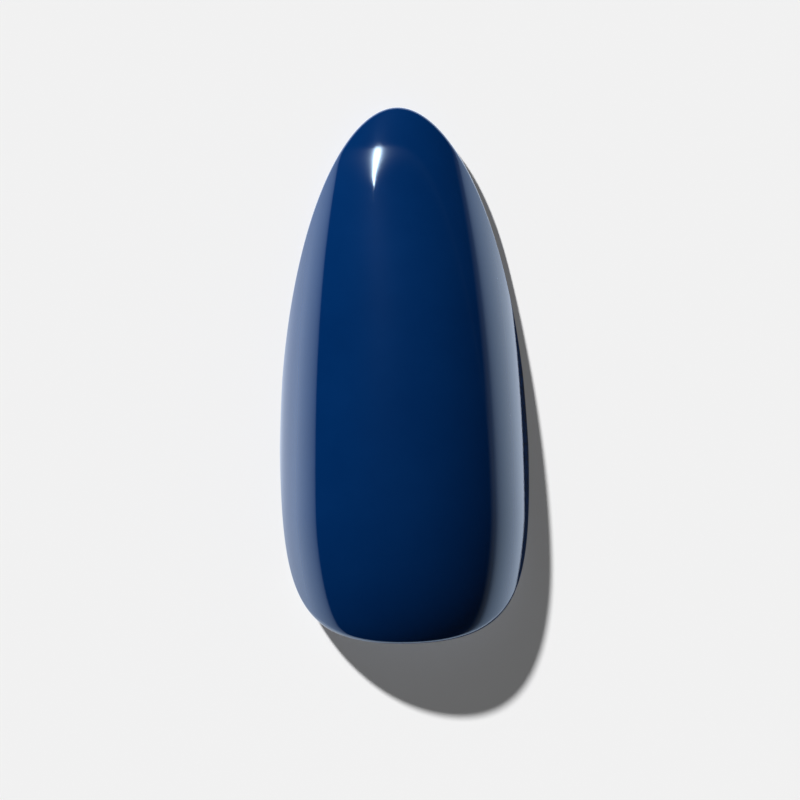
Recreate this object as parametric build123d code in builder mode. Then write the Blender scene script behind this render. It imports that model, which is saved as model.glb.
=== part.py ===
"""Almond false nail: a moulded full-cover tip under four cured gel coats.

The nail lies the way it is set down on a table, face up. X runs across it, +Y points to the free
tip and +Z is up. The origin is on the table, below the middle of the nail's own box.
Distances along the nail are counted from the free tip, and called stations.
"""

import os
from math import comb

from build123d import *

# Overall size of the finished nail
LENGTH = 25.8
HALF_WIDTH = 6.0
WIDEST = 16.8

# Plan outline: control points (station, half width) of the curve from the tip to the widest
# place, and of the one from there round the cuticle end
TIP_OUTLINE = [(0, 0), (0, 2.3), (4.0, 4.95), (11.75, HALF_WIDTH), (WIDEST, HALF_WIDTH)]
END_OUTLINE = [(WIDEST, HALF_WIDTH), (21.7, HALF_WIDTH), (24.7, 5.67), (LENGTH, 4.0), (LENGTH, 0)]

# Ridge line: control points (station, height above the table) along the top of the arch
RIDGE = [(0, 1.035), (7.28, 4.625), (21.42, 7.388), (LENGTH, 3.585)]

# Radius of the crosswise arch: tight at the tip, easing to that of the body, and narrowing again
# as the face rounds over towards the cuticle
TIP_ARCH_RADIUS = 3.61
MAIN_ARCH_RADIUS = 6.126
ARCH_EASING = 3.33
TAPER_START = 19.4
CUTICLE_TAPER = 0.88
TAPER_EASING = 1.75

# Wall of the finished nail, coats included: it thins along the ridge from the tip to the cuticle
TIP_WALL = 0.95
END_WALL = 0.55
SIDE_WALL = 0.65

# Thickness of each cured coat, from the outside in
COATS = {"top_coat": 0.15, "colour_coat_2": 0.07, "colour_coat_1": 0.07, "base_coat": 0.06}

# Lower rim seen from the side: flat on the table, then rising to the lifted cuticle end
RIM_RISE = [(16.8, 0), (20.6, 0), (23.6, 0.65), (26.0, 2.9)]

# How finely the curves are followed, and how far the tools that cut the nail reach past it
SECTIONS = 14
RIDGE_OVERRUN = 0.04
OUTLINE_STEPS = 20
TOOL_REACH = 20


def on_curve(controls, t):
    """Point at t, from 0 to 1 or a little past them, on the curve with these control points."""
    n = len(controls) - 1
    weights = [comb(n, i) * t**i * (1 - t) ** (n - i) for i in range(n + 1)]
    return [sum(w * c[axis] for w, c in zip(weights, controls)) for axis in (0, 1)]


def y_at(station):
    return LENGTH / 2 - station


def arch_radius(station):
    toward_tip = max(0, 1 - station / LENGTH) ** ARCH_EASING
    toward_cuticle = max(0, (station - TAPER_START) / (LENGTH - TAPER_START)) ** TAPER_EASING
    narrowing = (MAIN_ARCH_RADIUS - TIP_ARCH_RADIUS) * toward_tip
    return MAIN_ARCH_RADIUS - narrowing - CUTICLE_TAPER * toward_cuticle


def face_section(t, depth):
    """Station, ridge height and radius of the arch that lies depth under the nail's face."""
    station, height = on_curve(RIDGE, t)
    return station, height - depth, arch_radius(station) - depth


def hollow_section(t):
    """The same for the hollow underside, which sets the wall at the ridge and at the sides."""
    station, height = on_curve(RIDGE, t)
    wall = TIP_WALL + (END_WALL - TIP_WALL) * t
    return station, height - wall, arch_radius(station) - SIDE_WALL


def vault(section):
    """Solid half-round arch through the sections, running a little past both ends of the nail."""
    span = 1 + 2 * RIDGE_OVERRUN
    with BuildPart() as arch:
        for i in range(SECTIONS):
            station, height, radius = section(i * span / (SECTIONS - 1) - RIDGE_OVERRUN)
            spring = height - radius
            with BuildSketch(Plane.XZ.offset(-y_at(station))):
                with BuildLine():
                    ThreePointArc((-radius, spring), (0, height), (radius, spring))
                    Line((radius, spring), (-radius, spring))
                make_face()
        loft()
    return arch.part


def outline_points(depth):
    """Points right round the plan outline from the tip, drawn in square to it by depth."""
    right = []
    for controls in (TIP_OUTLINE, END_OUTLINE):
        with BuildLine(mode=Mode.PRIVATE) as side:
            Bezier(*[(width, y_at(station)) for station, width in controls])
        for i in range(OUTLINE_STEPS):
            t = i / OUTLINE_STEPS
            inward = (side.line % t).rotate(Axis.Z, -90)
            right.append((side.line @ t) + inward * depth)
    cuticle = Vector(0, y_at(LENGTH) + depth)
    left = [Vector(-point.X, point.Y) for point in right[:0:-1]]
    return [*right, cuticle, *left]


def column(depth):
    """Upright solid on the drawn-in outline, standing on the lower rim."""
    with BuildPart() as upright:
        with BuildSketch():
            with BuildLine():
                Spline(*outline_points(depth), periodic=True)
            make_face()
        extrude(amount=TOOL_REACH)
        with BuildSketch(Plane.YZ):
            with BuildLine():
                rise = Bezier(*[(y_at(station), height) for station, height in RIM_RISE])
                Polyline(rise @ 1, (y_at(RIM_RISE[-1][0]), -1), (y_at(RIM_RISE[0][0]), -1), rise @ 0)
            make_face()
        extrude(amount=TOOL_REACH, both=True, mode=Mode.SUBTRACT)
    return upright.part


def filled_nail(depth):
    """The nail as a solid block inside the face that lies depth under the finished one."""
    with BuildPart() as block:
        add(vault(lambda t: face_section(t, depth)))
        add(column(depth), mode=Mode.INTERSECT)
    return block.part


os.makedirs("parts", exist_ok=True)

hollow = vault(hollow_section)
depth = 0
outside = filled_nail(depth)
for name, thickness in COATS.items():
    depth += thickness
    inside = filled_nail(depth)
    with BuildPart() as coat:
        add(outside)
        add(inside, mode=Mode.SUBTRACT)
        add(hollow, mode=Mode.SUBTRACT)
    coat.part.label = name
    export_step(coat.part, f"parts/{name}.step")
    outside = inside

with BuildPart() as tip_shell:
    add(outside)
    add(hollow, mode=Mode.SUBTRACT)
tip_shell.part.label = "tip_shell"
export_step(tip_shell.part, "parts/tip_shell.step")
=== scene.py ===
"""Looks of the almond false nail: its gel coats and moulded tip, a pale table, light and camera.

Lengths named *_MM are millimetres and everything else is metres. Distances along the nail are
counted from the free tip, which points to +Y, and called stations.
"""

from math import comb, cos, radians, sin

import bmesh
import bpy
import numpy as np
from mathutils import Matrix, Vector


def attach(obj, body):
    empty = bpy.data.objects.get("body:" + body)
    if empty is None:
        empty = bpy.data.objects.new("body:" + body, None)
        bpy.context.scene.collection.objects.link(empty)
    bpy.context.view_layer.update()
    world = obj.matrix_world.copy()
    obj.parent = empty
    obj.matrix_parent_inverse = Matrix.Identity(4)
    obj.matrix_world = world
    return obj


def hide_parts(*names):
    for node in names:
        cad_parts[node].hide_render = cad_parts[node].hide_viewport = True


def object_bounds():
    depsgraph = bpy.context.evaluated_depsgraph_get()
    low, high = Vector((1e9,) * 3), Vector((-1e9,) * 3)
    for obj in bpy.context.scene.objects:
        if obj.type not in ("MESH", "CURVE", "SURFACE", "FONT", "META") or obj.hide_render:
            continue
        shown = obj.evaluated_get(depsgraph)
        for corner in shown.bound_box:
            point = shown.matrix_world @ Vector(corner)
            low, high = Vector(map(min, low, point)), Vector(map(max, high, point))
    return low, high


MM = 0.001

# The shape that part.py gives the nail
LENGTH_MM = 25.8
HALF_WIDTH_MM = 6.0
WIDEST_MM = 16.8
TIP_OUTLINE_MM = [(0, 0), (0, 2.3), (4.0, 4.95), (11.75, HALF_WIDTH_MM), (WIDEST_MM, HALF_WIDTH_MM)]
END_OUTLINE_MM = [
    (WIDEST_MM, HALF_WIDTH_MM),
    (21.7, HALF_WIDTH_MM),
    (24.7, 5.67),
    (LENGTH_MM, 4.0),
    (LENGTH_MM, 0),
]
RIDGE_MM = [(0, 1.035), (7.28, 4.625), (21.42, 7.388), (LENGTH_MM, 3.585)]
TIP_ARCH_RADIUS_MM = 3.61
MAIN_ARCH_RADIUS_MM = 6.126
ARCH_EASING = 3.33
TAPER_START_MM = 19.4
CUTICLE_TAPER_MM = 0.88
TAPER_EASING = 1.75
TIP_WALL_MM = 0.95
END_WALL_MM = 0.55
SIDE_WALL_MM = 0.65
RIM_RISE_MM = [(16.8, 0), (20.6, 0), (23.6, 0.65), (26.0, 2.9)]
COATS_MM = {"top_coat": 0.15, "colour_coat_2": 0.07, "colour_coat_1": 0.07, "base_coat": 0.06}

# Rounding that the cured gel adds to the sharp CAD edges, widest at the cuticle corners
EDGE_ROLL_MM = 0.26
CORNER_ROLL_MM = 0.65
CORNER_START_MM = 21.6
CORNER_MM = 24.8
LEAST_ROLL_MM = 0.02
BEAD_MM = 0.04

# How far inside the coats the hollow underside begins
HOLLOW_EDGE_MM = 0.1

# Mesh density: points round the outline, rings on a face that is seen and on one that is hidden,
# rings on a rolled edge and on a bead. Faces spread out from the station CENTRE_MM.
ROUND = 360
SEEN_RINGS = 64
HIDDEN_RINGS = 20
ROLL_RINGS = 7
BEAD_RINGS = 4
CENTRE_MM = 14.5
MERGE_MM = 0.001
SHARP_ANGLE = radians(50)

# How the place where a rolled edge meets the face is found: length of a slope's step, and rounds
SLOPE_STEP_MM = 0.01
SLOPE_ROUNDS = 12


def on_curve(controls, t):
    """Points at the parameters t on the curve with these control points, one row each."""
    n = len(controls) - 1
    weights = np.array([comb(n, i) * t**i * (1 - t) ** (n - i) for i in range(n + 1)])
    return weights.T @ np.array(controls, float)


FINE = np.linspace(0, 1, 4001)
RIDGE_LINE = on_curve(RIDGE_MM, FINE)
RIM_LINE = on_curve(RIM_RISE_MM, FINE)


def arch_radius(station):
    toward_tip = np.clip(1 - station / LENGTH_MM, 0, 1) ** ARCH_EASING
    past_start = (station - TAPER_START_MM) / (LENGTH_MM - TAPER_START_MM)
    toward_cuticle = np.clip(past_start, 0, 1) ** TAPER_EASING
    narrowing = (MAIN_ARCH_RADIUS_MM - TIP_ARCH_RADIUS_MM) * toward_tip
    return MAIN_ARCH_RADIUS_MM - narrowing - CUTICLE_TAPER_MM * toward_cuticle


def rim_height(station):
    return np.interp(station, RIM_LINE[:, 0], RIM_LINE[:, 1])


class Vault:
    """Arched face: the nail's own, lowered by a depth, or the hollow of its underside."""

    def __init__(self, depth=0.0, hollow=False):
        self.depth = depth
        self.hollow = hollow

    def radius(self, station):
        return arch_radius(station) - (SIDE_WALL_MM if self.hollow else self.depth)

    def crown(self, station):
        height = np.interp(station, RIDGE_LINE[:, 0], RIDGE_LINE[:, 1])
        if not self.hollow:
            return height - self.depth
        along = np.interp(station, RIDGE_LINE[:, 0], FINE)
        return height - TIP_WALL_MM - (END_WALL_MM - TIP_WALL_MM) * along

    def height(self, station, across):
        radius = self.radius(station)
        rise = np.sqrt(np.clip(radius**2 - across**2, 0, None))
        return self.crown(station) - radius + rise

    def half_width_at(self, station, height):
        """How far out the face is when it has come down to this height."""
        radius = self.radius(station)
        drop = height - (self.crown(station) - radius)
        return np.sqrt(np.clip(radius**2 - np.clip(drop, 0, None) ** 2, 0, None))


def outline():
    """Evenly spaced points (station, across) round the plan outline, and outward normals."""
    side = np.vstack([on_curve(TIP_OUTLINE_MM, FINE), on_curve(END_OUTLINE_MM, FINE)[1:]])
    steps = np.hypot(*np.diff(side, axis=0).T)
    along = np.concatenate([[0], np.cumsum(steps)])
    places = np.linspace(0, along[-1], ROUND // 2 + 1)
    right = np.column_stack([np.interp(places, along, side[:, i]) for i in (0, 1)])
    left = right[-2:0:-1] * (1, -1)
    loop = np.vstack([right, left])
    forward = np.roll(loop, -1, axis=0) - np.roll(loop, 1, axis=0)
    normal = np.column_stack([-forward[:, 1], forward[:, 0]])
    normal /= np.linalg.norm(normal, axis=1)[:, None]
    return loop, normal


LOOP, OUTWARD = outline()


def drawn_in(distance, vault):
    """The outline drawn in by a distance, and kept to where the face is above the rim."""
    edge = LOOP - OUTWARD * distance
    limit = vault.half_width_at(edge[:, 0], rim_height(edge[:, 0]))
    edge[:, 1] = np.clip(edge[:, 1], -limit, limit)
    return edge


def face_rings(vault, edge, count):
    """Rings of points on the face, from its middle out to the edge, spread evenly over the arch."""
    reach = vault.radius(edge[:, 0])
    swing = reach * np.arcsin(np.clip(edge[:, 1] / reach, -1, 1))
    rings = []
    for share in np.linspace(0, 1, count + 1)[1:]:
        station = CENTRE_MM + share * (edge[:, 0] - CENTRE_MM)
        radius = vault.radius(station)
        across = radius * np.sin(share * swing / radius)
        rings.append(np.column_stack([across, station, vault.height(station, across)]))
    return rings


def foot_height(edge):
    """Height of the lower rim: the rim line, or the hollow where that is higher."""
    hollow = Vault(hollow=True)
    inside = np.abs(edge[:, 1]) < hollow.radius(edge[:, 0])
    under = np.where(inside, hollow.height(edge[:, 0], edge[:, 1]), -1)
    return np.maximum(rim_height(edge[:, 0]), under)


def skin_rings(depth, count, bead):
    """Rings over the face, round its rolled edge and down the side to the lower rim."""
    vault = Vault(depth)
    edge = drawn_in(depth, vault)
    corner = [CORNER_START_MM, CORNER_MM, LENGTH_MM]
    roll = np.interp(edge[:, 0], corner, [EDGE_ROLL_MM, CORNER_ROLL_MM, EDGE_ROLL_MM])
    roll = np.maximum(roll - depth, LEAST_ROLL_MM)
    inset = roll / 2
    for _ in range(SLOPE_ROUNDS):
        near = edge - OUTWARD * inset[:, None]
        far = near - OUTWARD * SLOPE_STEP_MM
        climb = (vault.height(*far.T) - vault.height(*near.T)) / SLOPE_STEP_MM
        tilt = np.arctan(np.clip(climb, 0, None))
        inset = roll * (1 - np.sin(tilt))
    start = edge - OUTWARD * inset[:, None]
    rings = face_rings(vault, start, count)
    pivot = vault.height(*start.T) - roll * np.cos(tilt)
    foot = foot_height(edge)
    for i in range(1, ROLL_RINGS + 1):
        lean = tilt + (np.pi / 2 - tilt) * i / ROLL_RINGS
        place = edge - OUTWARD * (roll * (1 - np.sin(lean)))[:, None]
        height = np.maximum(pivot + roll * np.cos(lean), foot)
        rings.append(np.column_stack([place[:, 1], place[:, 0], height]))
    side = np.maximum(pivot, foot)
    for turn in np.linspace(0, np.pi / 2, BEAD_RINGS if bead else 1):
        place = edge - OUTWARD * bead * (1 - cos(turn))
        height = np.minimum(side, foot + bead * (1 - sin(turn)))
        rings.append(np.column_stack([place[:, 1], place[:, 0], height]))
    return rings


def hollow_rings(count):
    """Rings of the hollow underside, from its crown out to the lower rim."""
    hollow = Vault(hollow=True)
    edge = drawn_in(sum(COATS_MM.values()) + HOLLOW_EDGE_MM, hollow)
    return face_rings(hollow, edge, count)


def closed_shell(name, outer, inner):
    """Mesh object over the outer rings, round the lower rim and back under over the inner rings."""
    rings = [*outer, *inner[::-1]]
    points = np.vstack(rings)
    points = np.column_stack([points[:, 0], LENGTH_MM / 2 - points[:, 1], points[:, 2]])
    vertices = points.tolist()
    faces = []
    for ring in range(len(rings) - 1):
        low, high = ring * ROUND, (ring + 1) * ROUND
        for i in range(ROUND):
            following = (i + 1) % ROUND
            faces.append((low + i, low + following, high + following, high + i))
    for ring, flipped in ((0, False), (len(rings) - 1, True)):
        members = list(range(ring * ROUND, (ring + 1) * ROUND))
        middle = points[members].mean(axis=0)
        middle[0] = 0
        vertices.append(middle.tolist())
        for i, member in enumerate(members):
            following = members[(i + 1) % ROUND]
            turn = (member, following) if flipped else (following, member)
            faces.append((len(vertices) - 1, *turn))
    mesh = bpy.data.meshes.new(name)
    mesh.from_pydata([Vector(v) * MM for v in vertices], [], faces)
    shell = bmesh.new()
    shell.from_mesh(mesh)
    bmesh.ops.remove_doubles(shell, verts=shell.verts, dist=MERGE_MM * MM)
    shell.to_mesh(mesh)
    shell.free()
    mesh.shade_smooth()
    mesh.set_sharp_from_angle(angle=SHARP_ANGLE)
    piece = bpy.data.objects.new(name, mesh)
    bpy.context.scene.collection.objects.link(piece)
    return piece


def make_pieces():
    """The four coats and the moulded tip, each a closed shell against its neighbour."""
    pieces = {}
    depth = 0
    for name, thickness in COATS_MM.items():
        seen = name == "top_coat"
        outer = skin_rings(depth, SEEN_RINGS if seen else HIDDEN_RINGS, BEAD_MM if seen else 0)
        depth += thickness
        pieces[name] = closed_shell(f"{name}_gel", outer, skin_rings(depth, HIDDEN_RINGS, 0))
    outer = skin_rings(depth, HIDDEN_RINGS, 0)
    pieces["tip_shell"] = closed_shell("tip_shell_plastic", outer, hollow_rings(SEEN_RINGS))
    return pieces


class Nodes:
    """Short way to add and join the nodes of one material, or of the world."""

    def __init__(self, owner):
        self.owner = owner
        owner.use_nodes = True
        self.tree = owner.node_tree
        self.tree.nodes.clear()

    def add(self, kind, inputs=None, **settings):
        node = self.tree.nodes.new(kind)
        for key, value in settings.items():
            setattr(node, key, value)
        for key, value in (inputs or {}).items():
            if isinstance(value, bpy.types.NodeSocket):
                self.tree.links.new(value, node.inputs[key])
            else:
                node.inputs[key].default_value = value
        return node

    def math(self, operation, first, second=0.0):
        return self.add("ShaderNodeMath", {0: first, 1: second}, operation=operation).outputs[0]

    def product(self, first, second):
        return self.math("MULTIPLY", first, second)

    def total(self, first, second):
        return self.math("ADD", first, second)

    def power(self, base, scale, exponent):
        """The base over its scale, raised to the exponent."""
        return self.math("POWER", self.math("DIVIDE", base, scale), exponent)

    def share(self, vector, direction):
        """How far the vector reaches in a direction."""
        inputs = {0: vector, 1: direction}
        return self.add("ShaderNodeVectorMath", inputs, operation="DOT_PRODUCT").outputs["Value"]

    def scaled(self, vector, factor):
        inputs = {0: vector, "Scale": factor}
        return self.add("ShaderNodeVectorMath", inputs, operation="SCALE").outputs[0]

    def remap(self, value, start, end, low, high, kind="LINEAR"):
        """Value that runs from low to high as another runs from start to end."""
        ranges = {"From Min": start, "From Max": end, "To Min": low, "To Max": high}
        inputs = {"Value": value, **ranges}
        return self.add("ShaderNodeMapRange", inputs, interpolation_type=kind).outputs["Result"]

    def coordinates(self, kind):
        return self.add("ShaderNodeTexCoord").outputs[kind]

    def part_of(self, vector, axis):
        return self.add("ShaderNodeSeparateXYZ", {0: vector}).outputs[axis]

    def mix(self, factor, without, within):
        inputs = {0: factor, 1: without.outputs[0], 2: within.outputs[0]}
        return self.add("ShaderNodeMixShader", inputs)

    def noise(self, scale, detail=2.0, roughness=0.5, stretch=(1, 1, 1)):
        inputs = {"Vector": self.coordinates("Object"), "Scale": stretch}
        place = self.add("ShaderNodeMapping", inputs).outputs[0]
        inputs = {"Vector": place, "Scale": scale, "Detail": detail, "Roughness": roughness}
        return self.add("ShaderNodeTexNoise", inputs).outputs["Fac"]

    def ramp(self, factor, stops):
        node = self.add("ShaderNodeValToRGB", {"Fac": factor})
        elements = node.color_ramp.elements
        while len(elements) < len(stops):
            elements.new(0.5)
        for element, (place, colour) in zip(elements, stops):
            element.position = place
            element.color = (*colour, 1)
        return node.outputs["Color"]

    def between(self, factor, low, high):
        """Value that runs from low to high as the factor runs from 0.25 to 0.75."""
        return self.remap(factor, 0.25, 0.75, low, high)

    def bump(self, height, distance, strength=1.0, below=None):
        inputs = {"Height": height, "Distance": distance, "Strength": strength}
        if below:
            inputs["Normal"] = below
        return self.add("ShaderNodeBump", inputs).outputs["Normal"]

    def finish(self, shader, output="ShaderNodeOutputMaterial"):
        self.add(output, {"Surface": shader.outputs[0]})
        return self.owner


# Pigment of the navy gel, the tint of its gloss, and the painted shade that darkens it at the
# cuticle end and lightens it at the tip
NAVY = (0.0002, 0.0186, 0.088)
NAVY_DEEP = (0.0001, 0.0172, 0.083)
NAVY_THIN = (0.0005, 0.0200, 0.093)
GLOSS_TINT = (0.6, 0.8, 1.0, 1.0)
PAINTED_SHADE_AT_CUTICLE = 0.92
PAINTED_LIGHT_AT_TIP = 1.1


def navy_gel(name, gloss_ior):
    """Navy gel that has levelled itself into a hard gloss, with slow waves, pigment clouds and
    painted shade along its length.
    """
    nodes = Nodes(bpy.data.materials.new(name))
    clouds = nodes.noise(260, detail=5, roughness=0.6)
    colour = nodes.ramp(clouds, [(0.3, NAVY_DEEP), (0.5, NAVY), (0.7, NAVY_THIN)])
    along = nodes.part_of(nodes.coordinates("Object"), "Y")
    reach = LENGTH_MM * MM / 2
    # Painted shade: the navy is darker toward the cuticle end and lighter toward the tip, standing
    # in for how the key light falls along the arch
    shade = nodes.remap(along, -reach, reach, PAINTED_SHADE_AT_CUTICLE, PAINTED_LIGHT_AT_TIP)
    waves = nodes.bump(nodes.noise(330, detail=1, stretch=(1, 0.4, 1)), 0.000004)
    grain = nodes.bump(nodes.noise(9000, detail=2), 0.0000002, below=waves)
    inputs = {
        "Base Color": nodes.scaled(colour, shade),
        "Roughness": nodes.between(nodes.noise(1500, detail=3), 0.04, 0.06),
        "IOR": gloss_ior,
        "Specular Tint": GLOSS_TINT,
        "Normal": grain,
    }
    return nodes.finish(nodes.add("ShaderNodeBsdfPrincipled", inputs))


def clear_gel(name):
    """Cured clear gel: faintly milky and glossy."""
    nodes = Nodes(bpy.data.materials.new(name))
    clouds = nodes.noise(900, detail=3)
    inputs = {
        "Base Color": nodes.ramp(clouds, [(0.3, (0.50, 0.54, 0.60)), (0.7, (0.60, 0.63, 0.67))]),
        "Roughness": nodes.between(nodes.noise(2000), 0.10, 0.18),
        "IOR": 1.5,
        "Normal": nodes.bump(nodes.noise(600), 0.000004),
    }
    return nodes.finish(nodes.add("ShaderNodeBsdfPrincipled", inputs))


def moulded_tip(name):
    """Milky tip plastic with a frosted bonding face and faint mould-polish lines along it."""
    nodes = Nodes(bpy.data.materials.new(name))
    clouds = nodes.noise(220, detail=4)
    colour = nodes.ramp(clouds, [(0.3, (0.36, 0.42, 0.55)), (0.7, (0.46, 0.52, 0.63))])
    lines = nodes.bump(nodes.noise(2600, detail=2, stretch=(1, 0.05, 1)), 0.000006)
    frost = nodes.bump(nodes.noise(14000, detail=3), 0.000003, below=lines)
    inputs = {
        "Base Color": colour,
        "Roughness": nodes.between(nodes.noise(5000, detail=3), 0.42, 0.62),
        "IOR": 1.49,
        "Subsurface Weight": 0.25,
        "Subsurface Radius": (0.8, 0.9, 1.0),
        "Subsurface Scale": 0.0004,
        "Normal": frost,
    }
    return nodes.finish(nodes.add("ShaderNodeBsdfPrincipled", inputs))


def dress(pieces):
    """Gives each piece its material and its body, and hides the CAD part it stands for."""
    navy = navy_gel("navy_gel_gloss", 1.6)
    colour = navy_gel("navy_gel_coat", 1.5)
    looks = {
        "top_coat": (navy, "top_gel"),
        "colour_coat_2": (colour, "colour_gel"),
        "colour_coat_1": (colour, "colour_gel"),
        "base_coat": (clear_gel("clear_base_gel"), "base_gel"),
        "tip_shell": (moulded_tip("milky_tip_plastic"), "tip_plastic"),
    }
    for node, piece in pieces.items():
        material, slot = looks[node]
        piece.data.materials.append(material)
        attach(piece, "root")
        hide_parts(node)


# Direction to the key light: up and to the left, from beyond the free tip
TO_KEY = Vector((-0.714, 1.03, 1.0)).normalized()
KEY_STRENGTH = 4.76
KEY_ANGLE = radians(3.3)

# Glow that stands for the key in the gloss: a bright kite, narrow at its foot, and a faint streak.
# Where a direction lies is told by how far it is across the key and below it.
KITE = 60
KITE_HALF_WIDTH = 0.065
KITE_EDGE = 3
KITE_TOP = (-0.07, -0.054)
KITE_FOOT = (-0.036, 0.042)
KITE_FOOT_WIDTH = 0.001
KITE_FOOT_FADE = 8
KITE_SKEW = 0.2
KITE_BOW = 0.3
STREAK = 0.22
STREAK_HALF_WIDTH = 0.2
STREAK_HALF_LENGTH = 0.25
GLOW_ASIDE = 0.012
GLOW_BEND = 0.01
GLOW_LEAN = 0.6
MOST_LEAN = 0.17

# The rest of the room: even fill, the backdrop that the camera sees, and what the gloss sees
FILL = 0.02
BACKDROP = 0.88
DARK_ROOM = 0.004
RIGHT_WALL = (0.45, 0, -4)

# Table: its size, how far it lies below the nail's rim, its shade and its own faint glow
FLOOR_SIZE = 3.0
FLOOR_GAP = 0.00001
FLOOR_ALBEDO = 0.8
FLOOR_GLOW = 0.113

# Painted pool of light on the table, which only the nail's gloss sees: its colour, centre in
# centimetres, how much shorter it is along the nail, how it falls off from its core, its painted
# shade close to the nail and its painted dimming toward the right
POOL = (1.96, 2.18, 2.55)
POOL_SHIFT_CM = (0.08, 0.24, 0)
POOL_OVAL = 0.47
POOL_CORE_CM = 0.6
POOL_FALLOFF = -0.35
CONTACT_CM = (0.5, 0.9)
PAINTED_CONTACT_SHADE = 0.5
RIGHT_FADE = (0.008, 0.08)
PAINTED_RIGHT_SHADE = 0.6


def pool_of_light(nodes):
    """Painted brightness of the table as the nail's gloss shows it: a pool of light with painted
    shade.
    """
    place = nodes.coordinates("Object")
    to_cm = 100
    shape = {"Vector": place, "Scale": (to_cm, to_cm * POOL_OVAL, 0), "Location": POOL_SHIFT_CM}
    oval = nodes.add("ShaderNodeMapping", shape).outputs[0]
    away = nodes.add("ShaderNodeVectorMath", {0: oval}, operation="LENGTH").outputs["Value"]
    falloff = nodes.math("POWER", nodes.math("MAXIMUM", away, POOL_CORE_CM), POOL_FALLOFF)
    # Painted shade: the pool dims toward the right and close to the nail
    painted_right_fade = nodes.remap(nodes.part_of(place, "X"), *RIGHT_FADE, 1, PAINTED_RIGHT_SHADE)
    painted_contact_shade = nodes.remap(away, *CONTACT_CM, PAINTED_CONTACT_SHADE, 1, "SMOOTHSTEP")
    level = nodes.product(nodes.product(falloff, painted_right_fade), painted_contact_shade)
    return nodes.scaled(POOL, level)


def make_floor():
    """Plain pale matte table, faintly aglow, which the nail's gloss shows with a painted pool of
    light.
    """
    nodes = Nodes(bpy.data.materials.new("pale_table"))
    shade = (FLOOR_ALBEDO, FLOOR_ALBEDO, FLOOR_ALBEDO, 1)
    matte = nodes.add("ShaderNodeBsdfDiffuse", {"Color": shade})
    glow = nodes.add("ShaderNodeEmission", {"Strength": FLOOR_GLOW})
    table = nodes.add("ShaderNodeAddShader", {0: matte.outputs[0], 1: glow.outputs[0]})
    # Painted pool of light: the table seen in the gloss is brighter and bluer than the table itself
    bright = nodes.add("ShaderNodeBsdfDiffuse", {"Color": pool_of_light(nodes)})
    path = nodes.add("ShaderNodeLightPath").outputs
    in_gloss = nodes.math("SUBTRACT", path["Is Glossy Ray"], path["Diffuse Depth"])
    material = nodes.finish(nodes.mix(in_gloss, table, bright))

    half = FLOOR_SIZE / 2
    corners = [(-half, -half, 0), (half, -half, 0), (half, half, 0), (-half, half, 0)]
    mesh = bpy.data.meshes.new("table_top")
    mesh.from_pydata(corners, [], [(0, 1, 2, 3)])
    mesh.materials.append(material)
    table_top = bpy.data.objects.new("table_top", mesh)
    table_top.location.z = -FLOOR_GAP
    bpy.context.scene.collection.objects.link(table_top)


def make_key():
    """One small hard key light, which the gloss shows as the room's glow instead."""
    light = bpy.data.lights.new("key", "SUN")
    light.energy = KEY_STRENGTH
    light.angle = KEY_ANGLE
    lamp = bpy.data.objects.new("key", light)
    lamp.rotation_mode = "QUATERNION"
    lamp.rotation_quaternion = TO_KEY.to_track_quat("Z", "Y")
    lamp.visible_glossy = False
    bpy.context.scene.collection.objects.link(lamp)


def glow_of_key(nodes, toward):
    """Brightness of the kite and the streak in the direction that a reflection looks."""
    side = Vector((TO_KEY.z, 0, -TO_KEY.x)).normalized()
    below = nodes.share(toward, side.cross(TO_KEY))
    offset = nodes.math("SUBTRACT", nodes.share(toward, side), GLOW_ASIDE)
    slope = nodes.total(nodes.product(offset, KITE_BOW), KITE_SKEW)
    along = nodes.total(below, nodes.product(offset, slope))
    bend = nodes.math("ABSOLUTE", nodes.math("SUBTRACT", along, GLOW_BEND))
    lean = nodes.math("MINIMUM", nodes.product(bend, GLOW_LEAN), MOST_LEAN)
    across = nodes.math("ABSOLUTE", nodes.math("SUBTRACT", offset, lean))

    top = nodes.remap(along, *KITE_TOP, 0, 1, "SMOOTHSTEP")
    narrow = nodes.remap(along, *KITE_FOOT, 1, KITE_FOOT_WIDTH)
    foot = nodes.math("MINIMUM", nodes.product(narrow, KITE_FOOT_FADE), 1)
    reach = nodes.power(across, nodes.product(narrow, KITE_HALF_WIDTH), KITE_EDGE)
    kite = nodes.math("DIVIDE", KITE, nodes.total(reach, 1))
    kite = nodes.product(kite, nodes.product(top, foot))

    wide = nodes.power(across, STREAK_HALF_WIDTH, 2)
    long = nodes.power(below, STREAK_HALF_LENGTH, 2)
    streak = nodes.math("DIVIDE", STREAK, nodes.total(nodes.total(wide, long), 1))
    return nodes.total(kite, streak)


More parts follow.
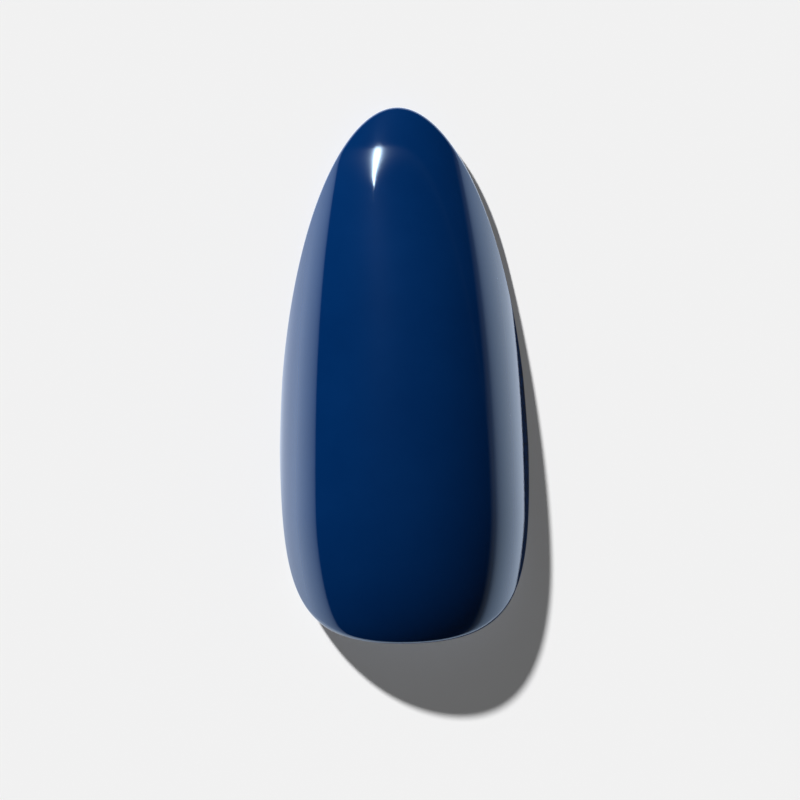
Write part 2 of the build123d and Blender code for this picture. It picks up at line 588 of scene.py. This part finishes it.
def make_room():
    """Weak even fill and a pale backdrop; the gloss shows a dark room with a dim right wall."""
    nodes = Nodes(bpy.data.worlds.new("room"))
    toward = nodes.coordinates("Generated")
    wall = nodes.math("MAXIMUM", nodes.share(toward, RIGHT_WALL), DARK_ROOM)
    strength = nodes.total(wall, glow_of_key(nodes, toward))
    gloss = nodes.add("ShaderNodeBackground", {"Strength": strength})
    fill = nodes.add("ShaderNodeBackground", {"Strength": FILL})
    backdrop = nodes.add("ShaderNodeBackground", {"Strength": BACKDROP})
    path = nodes.add("ShaderNodeLightPath").outputs
    unseen = nodes.mix(path["Is Glossy Ray"], fill, gloss)
    room = nodes.mix(path["Is Camera Ray"], unseen, backdrop)
    bpy.context.scene.world = nodes.finish(room, "ShaderNodeOutputWorld")


# Camera straight above, with a long lens; the nail leans a little and sits above the middle.
# It looks at the middle of the nail's box, less the two offsets.
LENS_MM = 600
SENSOR_MM = 36
CLIP_START = 0.05
FRAME_WIDTH = 0.0386
LEAN = radians(1.24)
NAIL_RIGHT = 0.000122
NAIL_UP = 0.001207


def make_camera(low, high):
    data = bpy.data.cameras.new("camera")
    data.lens = LENS_MM
    data.sensor_width = SENSOR_MM
    data.clip_start = CLIP_START
    camera = bpy.data.objects.new("camera", data)
    right = Vector((cos(LEAN), -sin(LEAN), 0))
    up = Vector((sin(LEAN), cos(LEAN), 0))
    centre = (low + high) / 2
    aim = Vector((centre.x, centre.y, 0)) - right * NAIL_RIGHT - up * NAIL_UP
    camera.location = aim + Vector((0, 0, FRAME_WIDTH * LENS_MM / SENSOR_MM))
    camera.rotation_euler = (0, 0, -LEAN)
    bpy.context.scene.collection.objects.link(camera)
    bpy.context.scene.camera = camera


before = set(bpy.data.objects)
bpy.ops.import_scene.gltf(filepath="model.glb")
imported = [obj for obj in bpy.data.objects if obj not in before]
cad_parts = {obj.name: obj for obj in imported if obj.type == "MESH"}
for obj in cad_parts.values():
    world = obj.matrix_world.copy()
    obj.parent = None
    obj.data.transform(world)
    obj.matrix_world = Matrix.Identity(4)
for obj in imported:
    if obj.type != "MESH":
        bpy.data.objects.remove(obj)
cad_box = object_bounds()
make_camera(*cad_box)
dress(make_pieces())
make_floor()
make_key()
make_room()
bpy.context.scene.view_settings.view_transform = "Standard"
